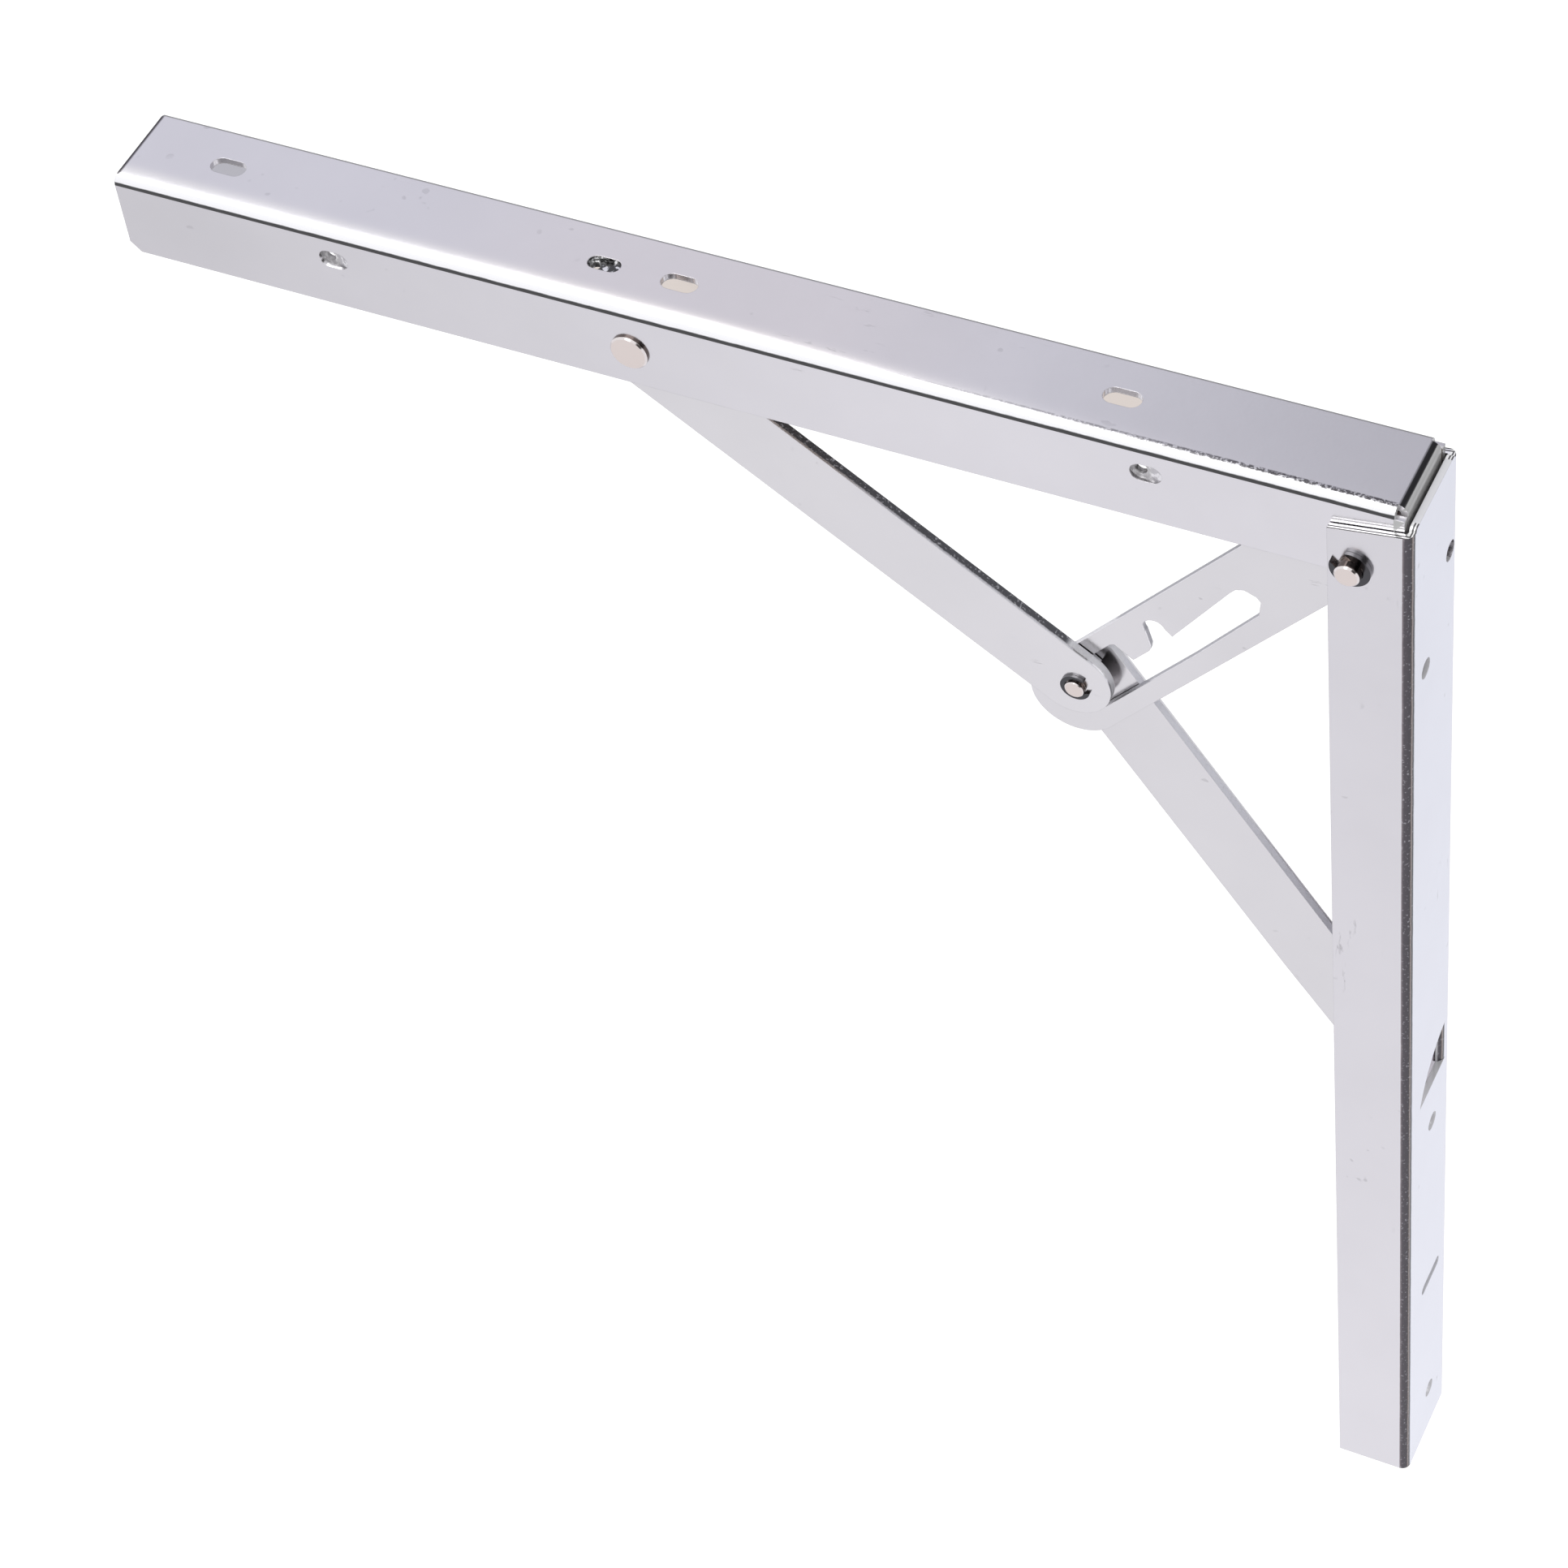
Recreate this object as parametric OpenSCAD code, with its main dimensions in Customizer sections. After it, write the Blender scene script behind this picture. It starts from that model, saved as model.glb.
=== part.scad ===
// Folding shelf bracket, shown open. The wall plane is X = 0 and the shelf arm reaches
// towards -X. Y = 0 is the mid-plane. The origin lies on the wall face, level with the
// main pivot. The arm folds down into line with the wall channel, and the elbow pin of
// the two struts then runs from its seat along the slot of the lock plate.

/* [Sheet] */
// Thickness of the sheet of both channels
sheet = 2; // [1.8:0.1:2.2]
// Outer radius of the folded edges
bend_r = 2.8; // [2.6:0.1:3.4]
// Side gap between the arm's flanges and the wall channel's
side_gap = 0.3; // [0.2:0.05:0.5]

/* [Shelf arm] */
// Reach of the arm from the wall plane
arm_reach = 389.7; // [375:0.1:420]
// Outer width of the arm
arm_w = 30; // [29.5:0.1:34]
// Height of the shelf face above the main pivot
arm_top = 22.1; // [21.8:0.1:24]
// Depth of the arm's flanges
arm_depth = 27.4; // [26.5:0.1:28.5]
// Gap between the wall plane and the arm's folded end
arm_end_gap = 3; // [2.8:0.1:3.2]
// Level of the lower edge of the end flap above the pivot
flap_rise = 0.8; // [0.5:0.1:4]
// Cut corner at the lower tip of each flange
tip_chamfer = 3.2; // [1:0.1:5]
// Distance of the slot near the tip from the wall
slot_tip = 360.2; // [345:0.1:362]
// Distance of the middle slot from the wall
slot_mid = 217.2; // [160:0.1:222]
// Distance of the slot near the wall from the wall
slot_root = 86.8; // [60:0.1:150]
// Length of each screw slot
slot_len = 11; // [9:0.1:14]
// Width of each screw slot
slot_w = 6; // [4.5:0.1:7]
// Distance of the dent in the shelf face from the wall
top_dent_at = 240.3; // [238:0.1:290]
// Length of the dent in the shelf face
top_dent_len = 10; // [9:0.1:12]
// Width of the dent in the shelf face
top_dent_w = 5; // [4.4:0.1:5.6]
// Distance of the flange's dent near the tip from the wall
dent_tip = 319.6; // [260:0.1:345]
// Distance of the flange's dent near the wall from the wall
dent_root = 74.6; // [60:0.1:180]
// Depth of the flange's dents below the shelf face
dent_drop = 10; // [9:0.1:12]
// Length of the flange's dents
dent_len = 9.2; // [8.4:0.1:11]
// Width of the flange's dents
dent_w = 6; // [5:0.1:6.6]

/* [Wall channel] */
// Drop of the wall channel's lower end below the main pivot
wall_drop = 425.7; // [415:0.1:450]
// Rise of the wall channel's web above the main pivot
wall_rise = 17; // [16.6:0.1:18]
// Depth of the wall channel's flanges
wall_depth = 23.4; // [23:0.1:25]
// Rise of the flanges' open edge above the main pivot
flange_rise = 12.4; // [11:0.1:14]
// Diameter of the wall screw holes
wall_hole_d = 6.2; // [5:0.1:6.6]
// Sideways offset of the screw holes' centre line
hole_offset = 2.5; // [0:0.1:2.6]
// Sideways step of the two upper screw holes from that line
hole_step = 9; // [6:0.1:9]
// Drop of the top screw hole
hole_1_drop = 16.5; // [14:0.1:20]
// Drop of the second screw hole
hole_2_drop = 44.1; // [35:0.1:80]
// Drop of the third screw hole
hole_3_drop = 258.4; // [252:0.1:300]
// Drop of the lowest screw hole
hole_4_drop = 404.7; // [390:0.1:408]
// Drop of the pressed slit in the web
slit_drop = 340.4; // [320:0.1:370]
// Length of the pressed slit
slit_len = 12; // [8:0.1:13]

/* [Ear] */
// Sideways place of the fold of the ear
ear_fold = 12.2; // [11.8:0.1:12.3]
// Width of the window that the ear is cut from
ear_reach = 20.3; // [19.5:0.1:20.8]
// Height of the window
ear_h = 17.7; // [17:0.1:19]
// Drop of the window's lower edge
ear_drop = 239.4; // [238.5:0.1:240.5]
// Bulge of the ear's curved edge
ear_bulge = 3.4; // [3:0.1:5]

/* [Pivots] */
// Distance of the main pivot from the wall
pivot_in = 16.7; // [16.5:0.1:17]
// Distance of the arm rivet from the main pivot along the arm
rivet_out = 210.3; // [209:0.1:211]
// Height of the arm rivet above the main pivot
rivet_rise = 7; // [6.5:0.1:7.5]
// Distance of the elbow from the main pivot, level
elbow_out = 84.7; // [84.2:0.1:85.2]
// Drop of the elbow below the main pivot
elbow_drop = 86.1; // [85.6:0.1:86.6]
// Distance of the ear pin from the wall
ear_pin_in = 12.3; // [12:0.1:12.6]
// Drop of the ear pin below the main pivot
ear_pin_drop = 230.5; // [230:0.1:231]

/* [Pins] */
// Diameter of the main pivot pin
main_pin_d = 7.2; // [6.5:0.1:7.6]
// Diameter of the heads of the main pivot pin and the arm rivet
main_head_d = 11.4; // [10:0.1:12]
// Diameter of the elbow pin and of the arm rivet
elbow_pin_d = 5.8; // [5.4:0.1:5.9]
// Diameter of the pin in the ear
ear_pin_d = 5; // [4.4:0.1:5.2]
// Diameter of the elbow pin's head and the rivets' closed heads
elbow_head_d = 9; // [8:0.1:9.4]
// Length of the main pin past its snap ring
main_pin_out = 2.6; // [2:0.1:3.2]
// Radial running clearance of the pins
run_gap = 0.05; // [0.03:0.01:0.09]
// Thickness of the main pin's snap ring
ring_t = 1.2; // [0.9:0.1:1.4]
// Outer diameter of the main pin's snap ring
ring_d = 11.6; // [11:0.1:12]
// Outer diameter of the elbow pin's snap ring
elbow_ring_d = 9; // [8.6:0.1:9.6]

/* [Struts] */
// Width of both struts
strut_w = 24; // [23.4:0.1:24.4]
// Thickness of both struts
strut_t = 3; // [2.6:0.1:3.1]
// Gap between the plates that slide on each other
layer_gap = 0.3; // [0.2:0.05:0.35]
// Free space between the arm's flange and the upper strut
strut_inset = 2; // [1.9:0.05:2.2]
// Offset of the arm rivet from the upper strut's centre line
rivet_offset = 4.2; // [3.5:0.1:4.6]
// Distance of the elbow from the lower strut's lower edge
low_edge = 9; // [8.6:0.1:9.4]
// Overhang of the lower strut past the elbow
low_over = 9; // [8:0.1:10]
// Length of the lower strut's full width past the elbow
low_full = 121; // [119:0.1:122]
// Radius of the lower strut's rounded foot
low_foot_r = 4.6; // [4.3:0.1:4.7]
// Slope of the lower strut in degrees
low_slope = 57; // [56.8:0.1:57.2]
// Set-back of the round end of the upper strut from the elbow pin
upper_end_in = 1.8; // [0:0.1:2.4]

/* [Lock plate] */
// Thickness of the lock plate
lock_t = 2; // [1.7:0.1:2.2]
// Distance of the lock plate's upper edge from the main pivot
lock_up = 16.7; // [16.2:0.1:17]
// Distance of the lock plate's lower edge from the main pivot
lock_low = 10.6; // [10.2:0.1:11]
// Distance of the far round end's centre from the main pivot
lock_far = 128.3; // [127.5:0.1:129]
// Radius of the hub around the main pivot
hub_r = 11; // [10:0.1:11.1]
// Rise of the elbow's seat in the slot above the main pivot's line
seat_rise = 7.2; // [7:0.1:7.3]
// Clearance around the elbow pin in its seat
seat_gap = 0.3; // [0.25:0.05:0.4]
// Drop of the slot's lower edge below the main pivot's line
lane_low = 4.4; // [4.3:0.1:4.8]
// Distance of the slot's near end from the main pivot
slot_near = 45; // [44:0.1:46]
// Height of the slot's near end above the main pivot's line
slot_near_rise = 6.6; // [6.5:0.1:6.9]
// Distance of the small tooth's tip from the main pivot
tooth_near = 80.6; // [80:0.1:81]
// Height of the small tooth's tip above the main pivot's line
tooth_near_rise = 4; // [3.9:0.1:4.4]
// Distance of the catch tooth's lock face from the main pivot
tooth_far = 99.8; // [99.4:0.1:100]
// Height of the catch tooth's foot above the main pivot's line
tooth_far_rise = 3.8; // [3.8:0.1:4]
// Height of the notches above the main pivot's line
notch_rise = 11.4; // [11:0.1:11.8]

/* [Hidden] */
$fn = 64;
eps = 0.01;
zinc = [0.82, 0.82, 0.86];
zinc_plate = [0.84, 0.84, 0.88];
steel_pin = [0.80, 0.76, 0.73];
steel_ring = [0.30, 0.30, 0.32];

// Channels
in_r = bend_r - sheet;
arm_in = arm_w / 2 - sheet;
wall_w = arm_w + 2 * (side_gap + sheet);
wall_in = wall_w / 2 - sheet;
arm_end = -arm_end_gap;
arm_low = arm_top - arm_depth;
web_corner_r = 1.5;

// Pivots in the plane of the plates
pivot = [-pivot_in, 0];
rivet = [-pivot_in - rivet_out, rivet_rise];
elbow = [-pivot_in - elbow_out, -elbow_drop];
ear_hole = [-ear_pin_in, -ear_pin_drop];

// The arm's rounded lower corner passes the wall web as the arm folds
web_clear = 0.5;
corner_sweep_r = pivot_in - sheet - web_clear;

// Stack of the plates from the photographed side, each value the plate's front face
upper_y = -arm_in + strut_inset;
lock_y = upper_y + strut_t + layer_gap;
lower_y = lock_y + lock_t + layer_gap;
head_gap = 0.1;
elbow_head_y = lower_y + strut_t + head_gap;
elbow_head_t = 1.7;
open_gap = 0.3;
press_gap = 0.02;
edge_break = 0.5;

// Upper strut, laid out from the elbow towards the arm rivet
upper_vec = rivet - elbow;
upper_len = norm(upper_vec);
upper_angle = atan2(upper_vec[1], upper_vec[0]);
upper_skew = atan2(rivet_offset, upper_len);
upper_end = norm([upper_len, rivet_offset]);

// Lower strut, laid out from the elbow towards the ear pin
lower_vec = ear_hole - elbow;
lower_len = norm(lower_vec);
lower_angle = atan2(lower_vec[1], lower_vec[0]);
lower_skew = -low_slope - lower_angle;
foot = [lower_len * cos(lower_skew), -lower_len * sin(lower_skew)];
low_up = strut_w - low_edge;
low_corner_r = 4;
foot_grip = 0.9;

// Lock plate, laid out from the main pivot with the elbow on its negative side
elbow_far = norm([elbow_out, elbow_drop]);
lock_angle = atan2(elbow_drop, elbow_out) + asin(seat_rise / elbow_far);
seat = [-sqrt(elbow_far * elbow_far - seat_rise * seat_rise), seat_rise];
lock_end_r = (lock_up + lock_low) / 2;
lock_end_y = (lock_up - lock_low) / 2;
pin_r = elbow_pin_d / 2;
slot_corner_r = 3.2;

// Strut rivets
shoulder_r = 4.5;
ear_shoulder_r = 3.6;
rivet_head_t = 1.2;
tail_t = 1;

// A plate that lies in the XZ plane, from its front face towards +Y
module plate(front, thick) {
    translate([0, front + thick, 0])
        rotate([90, 0, 0])
            linear_extrude(height = thick)
                children();
}

// A round bar along Y at a point of the XZ plane
module bar(at, r, front, back) {
    translate([at[0], back, at[1]])
        rotate([90, 0, 0])
            cylinder(r = r, h = back - front);
}

// A round bar along Y with a bevelled front end
module bevelled_front(at, r, front, back, bevel) {
    bar(at, r, front + bevel, back);
    translate([at[0], front + bevel, at[1]])
        rotate([90, 0, 0])
            cylinder(r1 = r, r2 = r - bevel, h = bevel);
}

// A round bar along Y with a bevelled back end
module bevelled_back(at, r, front, back, bevel) {
    bar(at, r, front, back - bevel);
    translate([at[0], back - bevel, at[1]])
        rotate([-90, 0, 0])
            cylinder(r1 = r, r2 = r - bevel, h = bevel);
}

// Outline of a channel: web on the X axis, flanges towards +Y
module rounded_u(width, depth, r) {
    translate([-width / 2, r])
        square([width, depth - r]);
    translate([-width / 2 + r, 0])
        square([width - 2 * r, depth]);
    for (side = [-1, 1])
        translate([side * (width / 2 - r), r])
            circle(r = r);
}

module channel_outline(width, depth) {
    difference() {
        rounded_u(width, depth, bend_r);
        translate([0, sheet])
            rounded_u(width - 2 * sheet, depth, in_r);
    }
}

// An obround with its length along X
module obround(length, width) {
    run = length - width;
    translate([-run / 2, -width / 2])
        square([run, width]);
    for (side = [-1, 1])
        translate([side * run / 2, 0])
            circle(d = width);
}

// Shelf arm
dent_depth = 1.5;
dent_skin = 0.8;
dent_lip = 0.3;
dent_torn = 0.62;

module arm_channel() {
    translate([-arm_reach, 0, arm_top])
        rotate([90, 0, 90])
            linear_extrude(height = arm_reach - arm_end_gap - bend_r)
                mirror([0, 1])
                    channel_outline(arm_w, arm_depth);
}

module arm_cheeks() {
    for (side = [-1, 1])
        translate([arm_end - bend_r - eps, side * (arm_in + sheet / 2) - sheet / 2, arm_low])
            cube([bend_r + eps, sheet, arm_depth - bend_r]);
}

module arm_flap() {
    flap_w = arm_w - 2 * bend_r;
    plate(-flap_w / 2, flap_w)
        difference() {
            union() {
                translate([arm_end - bend_r, arm_top - bend_r])
                    circle(r = bend_r);
                translate([arm_end - bend_r, flap_rise])
                    square([bend_r, arm_top - bend_r - flap_rise]);
            }
            translate([arm_end - bend_r, arm_top - bend_r])
                circle(r = in_r);
            translate([arm_end - 2 * bend_r - eps, flap_rise - eps])
                square([2 * bend_r - sheet + eps, arm_top - bend_r - flap_rise + eps]);
            translate([arm_end - 2 * bend_r - eps, flap_rise])
                square([bend_r + eps, arm_top]);
        }
}

// Places a dent in the front flange: its length along the arm, its depth towards +Y
module flange_dent_place(at) {
    translate([-at, -arm_w / 2, arm_top - dent_drop])
        rotate([90, 0, 0])
            children();
}

module top_dent_place() {
    translate([-top_dent_at, 0, arm_top])
        children();
}

// Sheet that a dent pushes out on the far side
module dent_body(length, width) {
    translate([0, 0, -sheet - dent_depth])
        linear_extrude(height = dent_depth + sheet / 2)
            obround(length + 2 * dent_skin, width + 2 * dent_skin);
}

// Hollow of a lanced dent: a torn hole at one end and a tongue that slopes up to the other
module dent_cut(length, width) {
    slope = atan2(dent_depth, dent_torn * length);
    hole_d = dent_torn * width;
    difference() {
        translate([0, 0, -dent_depth])
            linear_extrude(height = dent_depth + sheet)
                obround(length, width);
        translate([length / 2 - dent_lip, 0, -dent_lip])
            rotate([0, -slope, 0])
                translate([-length, -width, -2 * length])
                    cube([2 * length, 2 * width, 2 * length]);
    }
    translate([-(length - width) / 2 - dent_lip, 0, -2 * sheet - dent_depth])
        cylinder(d = hole_d, h = 2 * sheet + dent_depth);
}

module slot_cut(at) {
    translate([-at, 0, arm_top - sheet - eps])
        linear_extrude(height = sheet + 2 * eps)
            obround(slot_len, slot_w);
}

module shelf_arm() {
    color(zinc)
        difference() {
            union() {
                arm_channel();
                arm_cheeks();
                arm_flap();
                top_dent_place()
                    dent_body(top_dent_len, top_dent_w);
                for (at = [dent_tip, dent_root])
                    flange_dent_place(at)
                        dent_body(dent_len, dent_w);
            }
            for (at = [slot_tip, slot_mid, slot_root])
                slot_cut(at);
            top_dent_place()
                dent_cut(top_dent_len, top_dent_w);
            for (at = [dent_tip, dent_root])
                flange_dent_place(at)
                    dent_cut(dent_len, dent_w);
            bar(pivot, main_pin_d / 2 + run_gap, -arm_w, arm_w);
            bar(rivet, pin_r + press_gap, -arm_w, 0);
            tip_corner_cut();
            root_corner_cut();
        }
}

module tip_corner_cut() {
    plate(-arm_w, 2 * arm_w)
        polygon([
            [-arm_reach - eps, arm_low - eps],
            [-arm_reach + tip_chamfer, arm_low - eps],
            [-arm_reach - eps, arm_low + tip_chamfer]
        ]);
}

// Rounds the flanges' lower corners at the root about the main pivot
module root_corner_cut() {
    plate(-arm_w, 2 * arm_w)
        difference() {
            translate([pivot[0], arm_low - eps])
                square([pivot_in, -arm_low]);
            translate(pivot)
                circle(r = corner_sweep_r);
        }
}

module arm_rivet() {
    face = -arm_w / 2;
    color(steel_pin) {
        bevelled_front(rivet, main_head_d / 2, face - rivet_head_t, face, edge_break);
        bar(rivet, pin_r, face, -arm_in);
        bar(rivet, shoulder_r, -arm_in, upper_y - open_gap);
    }
}

// Wall channel
slope_top = wall_rise - 1;

module wall_body() {
    translate([0, 0, -wall_drop])
        rotate([0, 0, 90])
            linear_extrude(height = wall_drop + wall_rise)
                channel_outline(wall_w, wall_depth);
}

module flange_top_cut() {
    for (side = [-1, 1])
        plate(side * wall_w / 2 - bend_r, 2 * bend_r)
            polygon([
                [-wall_depth - eps, flange_rise],
                [eps, slope_top],
                [eps, wall_rise + eps],
                [-wall_depth - eps, wall_rise + eps]
            ]);
}

module web_corner_cut() {
    flat = wall_w / 2 - bend_r;
    for (side = [-1, 1])
        translate([-sheet - in_r - eps, side * (flat - web_corner_r / 2), wall_rise - web_corner_r])
            rotate([90, 0, 90])
                linear_extrude(height = sheet + in_r + 2 * eps)
                    difference() {
                        translate([-web_corner_r / 2, 0])
                            square([web_corner_r, web_corner_r + eps]);
                        translate([-side * web_corner_r / 2, 0])
                            circle(r = web_corner_r);
                    }
}

module web_hole(side, drop) {
    translate([-sheet - eps, side, -drop])
        rotate([0, 90, 0])
            cylinder(d = wall_hole_d, h = sheet + 2 * eps);
}

// Outline of the ear and of its window, with the fold on the Y axis and the free end
// towards +X: a right-angled corner closed by a flat arc
module ear_outline() {
    chord = norm([ear_reach, ear_h]);
    arc_r = (chord * chord / 4 + ear_bulge * ear_bulge) / (2 * ear_bulge);
    mid = [ear_reach / 2, ear_h / 2];
    inward = [-ear_h, -ear_reach] / chord;
    intersection() {
        square([ear_reach, ear_h]);
        translate(mid + inward * (arc_r - ear_bulge))
            circle(r = arc_r, $fn = 128);
    }
}

module ear_window() {
    translate([-sheet - eps, ear_fold, -ear_drop])
        rotate([90, 0, 90])
            linear_extrude(height = sheet + 2 * eps)
                mirror([1, 0]) {
                    ear_outline();
                    translate([-in_r, 0])
                        square([in_r + eps, ear_h]);
                }
}

module ear() {
    cut = 0.15;
    height = ear_h - 2 * cut;
    plate(ear_fold - sheet, sheet)
        translate([-bend_r + eps, -ear_drop + cut])
            mirror([1, 0])
                intersection() {
                    ear_outline();
                    square([ear_reach, height]);
                }
    translate([0, 0, -ear_drop + cut])
        linear_extrude(height = height)
            ear_bend();
}

// Quarter bend from the web's outer face to the ear's face
module ear_bend() {
    centre = [-bend_r, ear_fold + in_r];
    difference() {
        intersection() {
            translate(centre)
                circle(r = bend_r);
            translate([-bend_r, ear_fold - sheet])
                square([bend_r, bend_r + eps]);
        }
        translate(centre)
            circle(r = in_r);
    }
}

slit_w = 0.8;
press_depth = 0.9;
press_margin = 2;

module pressed_slit(outer_x, depth, margin) {
    translate([outer_x, hole_offset, -slit_drop])
        rotate([90, 0, 90])
            linear_extrude(height = depth)
                obround(slit_len + 2 * margin, slit_w + 2 * margin);
}

module wall_channel() {
    color(zinc)
        difference() {
            union() {
                difference() {
                    wall_body();
                    flange_top_cut();
                    web_corner_cut();
                    ear_window();
                }
                ear();
                pressed_slit(-sheet - press_depth, press_depth + eps, press_margin);
            }
            web_hole(hole_offset + hole_step, hole_1_drop);
            web_hole(hole_offset - hole_step, hole_2_drop);
            web_hole(hole_offset, hole_3_drop);
            web_hole(hole_offset, hole_4_drop);
            pressed_slit(-press_depth, press_depth + eps, press_margin - press_depth / 2);
            pressed_slit(-2 * sheet, 2 * sheet + eps, 0);
            bar(pivot, main_pin_d / 2 + press_gap, -wall_w, wall_w);
            bar(ear_hole, ear_pin_d / 2 + press_gap, 0, wall_in);
        }
}

// Main pivot
ring_seat = 0.05;
ring_relief = 0.25;
groove_depth = 0.7;

module main_pivot_pin() {
    face = wall_w / 2;
    groove_back = -face;
    groove_front = groove_back - ring_t - 2 * ring_seat;
    color(steel_pin) {
        bevelled_back(pivot, main_head_d / 2, face, face + elbow_head_t, edge_break);
        bar(pivot, main_pin_d / 2, groove_back, face);
        bar(pivot, main_pin_d / 2 - groove_depth, groove_front, groove_back);
        bevelled_front(pivot, main_pin_d / 2, groove_front - main_pin_out, groove_front, edge_break);
    }
}

// Snap ring with three inner lugs, open towards one side
module snap_ring(at, outer_d, pin_d, front, thick, open_angle) {
    inner_r = pin_d / 2 - groove_depth + press_gap;
    relief_r = pin_d / 2 + ring_relief;
    mouth = 2 * inner_r;
    lug_w = pin_d * 0.28;
    plate(front, thick)
        translate(at)
            rotate(open_angle)
                difference() {
                    circle(d = outer_d);
                    circle(r = inner_r);
                    translate([0, -mouth / 2])
                        square([outer_d, mouth]);
                    difference() {
                        circle(r = relief_r);
                        for (turn = [80, 180, 280])
                            rotate(turn)
                                translate([0, -lug_w / 2])
                                    square([outer_d, lug_w]);
                    }
                }
}

module main_pin_ring() {
    color(steel_ring)
        snap_ring(pivot, ring_d, main_pin_d, -wall_w / 2 - ring_seat - ring_t, ring_t, 135);
}

module spacer(front, back) {
    color(steel_pin)
        difference() {
            bar(pivot, main_head_d / 2, front, back);
            bar(pivot, main_pin_d / 2 + run_gap, front - eps, back + eps);
        }
}

module front_spacer() {
    spacer(-arm_in + head_gap, lock_y - head_gap);
}

module back_spacer() {
    spacer(lock_y + lock_t + head_gap, arm_in - head_gap);
}

module ear_pin() {
    back = ear_fold;
    color(steel_pin) {
        bevelled_back(ear_hole, ear_pin_d / 2 + 1, back, back + edge_break, edge_break / 2);
        bar(ear_hole, ear_pin_d / 2, ear_fold - sheet, back);
        bar(ear_hole, ear_shoulder_r, lower_y + strut_t + open_gap, ear_fold - sheet);
    }
}

// Lock plate
module lock_body() {
    neck = 22;
    polygon([
        [-lock_far, -lock_low],
        [0, -min(lock_low, hub_r)],
        [0, 0],
        [-3, hub_r - 0.5],
        [-neck, lock_up],
        [-lock_far, lock_up]
    ]);
    translate([-lock_far, lock_end_y])
        circle(r = lock_end_r, $fn = 96);
    circle(r = hub_r);
}

// Slot with the near end wide, a sloped upper edge, two teeth, a low lip and the seat
module lock_slot() {
    seat_r = pin_r + seat_gap;
    seat_left = seat[0] - seat_r;
    seat_right = seat[0] + seat_r;
    far_x = seat_left - 1.5;
    far_y = -lane_low + slot_corner_r;
    near_low = lane_low - 0.8;
    near_notch_r = 3.4;
    near_notch = [-tooth_near - 2.7, notch_rise + 0.7 - near_notch_r];
    near_run = 6;
    ramp = 91.4;
    lip_foot = seat_rise + 0.5;
    lip_run = 6.5;
    lip_x = 1.35;
    lip_y = seat_r - 0.25;
    polygon([
        [-slot_near - 5.2, -near_low],
        [-slot_near - 0.4, slot_corner_r - near_low],
        [-slot_near, slot_near_rise - 5],
        [-slot_near - 1.2, slot_near_rise - 1.4],
        [-slot_near - 3.4, slot_near_rise],
        [-slot_near - near_run, slot_near_rise],
        [-tooth_near, tooth_near_rise],
        near_notch + [near_notch_r - 0.3, 0],
        near_notch + [-2.7, 1.6],
        [-ramp + 1.6, tooth_far_rise + 1.1],
        [-ramp, tooth_far_rise],
        [-tooth_far + 0.6, tooth_far_rise],
        [-tooth_far, notch_rise - 0.6],
        [-tooth_far - 1.4, notch_rise],
        [seat_right + lip_run, notch_rise],
        [seat_right + lip_run, lip_foot],
        [seat_right + 3.6, lip_foot],
        [seat[0] + lip_x, seat_rise + lip_y],
        [seat[0], seat_rise],
        [seat_left, seat_rise],
        [far_x - slot_corner_r, far_y],
        [far_x, -lane_low],
        [-tooth_near, -lane_low]
    ]);
    translate(near_notch)
        circle(r = near_notch_r);
    translate(seat)
        circle(r = seat_r);
    translate([far_x, far_y])
        circle(r = slot_corner_r);
}

module lock_frame() {
    translate(pivot)
        rotate(lock_angle)
            children();
}

module lock_plate() {
    color(zinc_plate)
        difference() {
            plate(lock_y, lock_t)
                lock_frame()
                    lock_body();
            plate(lock_y - eps, lock_t + 2 * eps)
                lock_frame()
                    lock_slot();
            bar(pivot, main_pin_d / 2 + run_gap, lock_y - eps, lock_y + lock_t + eps);
        }
}

// Elbow
elbow_ring_t = 0.8;

module elbow_pin() {
    groove_back = upper_y;
    groove_front = groove_back - elbow_ring_t - 2 * ring_seat;
    end = -arm_in + open_gap;
    color(steel_pin) {
        bevelled_back(elbow, elbow_head_d / 2, elbow_head_y, elbow_head_y + elbow_head_t, edge_break);
        bar(elbow, pin_r, groove_back, elbow_head_y);
        bar(elbow, pin_r - groove_depth, groove_front, groove_back);
        bevelled_front(elbow, pin_r, end, groove_front, edge_break / 2);
    }
}

module elbow_ring() {
    front = upper_y - ring_seat - elbow_ring_t;
    color(steel_ring)
        snap_ring(elbow, elbow_ring_d, elbow_pin_d, front, elbow_ring_t, 20);
}

// Struts
module upper_strut() {
    color(zinc_plate)
        plate(upper_y, strut_t)
            translate(elbow)
                rotate(upper_angle)
                    difference() {
                        rotate(upper_skew) {
                            translate([upper_end_in, -strut_w / 2])
                                square([upper_end - upper_end_in, strut_w]);
                            for (at = [upper_end_in, upper_end])
                                translate([at, 0])
                                    circle(d = strut_w, $fn = 96);
                        }
                        circle(r = pin_r + run_gap);
                        translate([upper_len, 0])
                            circle(r = pin_r + press_gap);
                    }
}

module upper_strut_rivet() {
    back = upper_y + strut_t;
    color(steel_pin) {
        bar(rivet, pin_r, upper_y, back);
        bevelled_back(rivet, elbow_head_d / 2, back, back + tail_t, edge_break / 2);
    }
}

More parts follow.
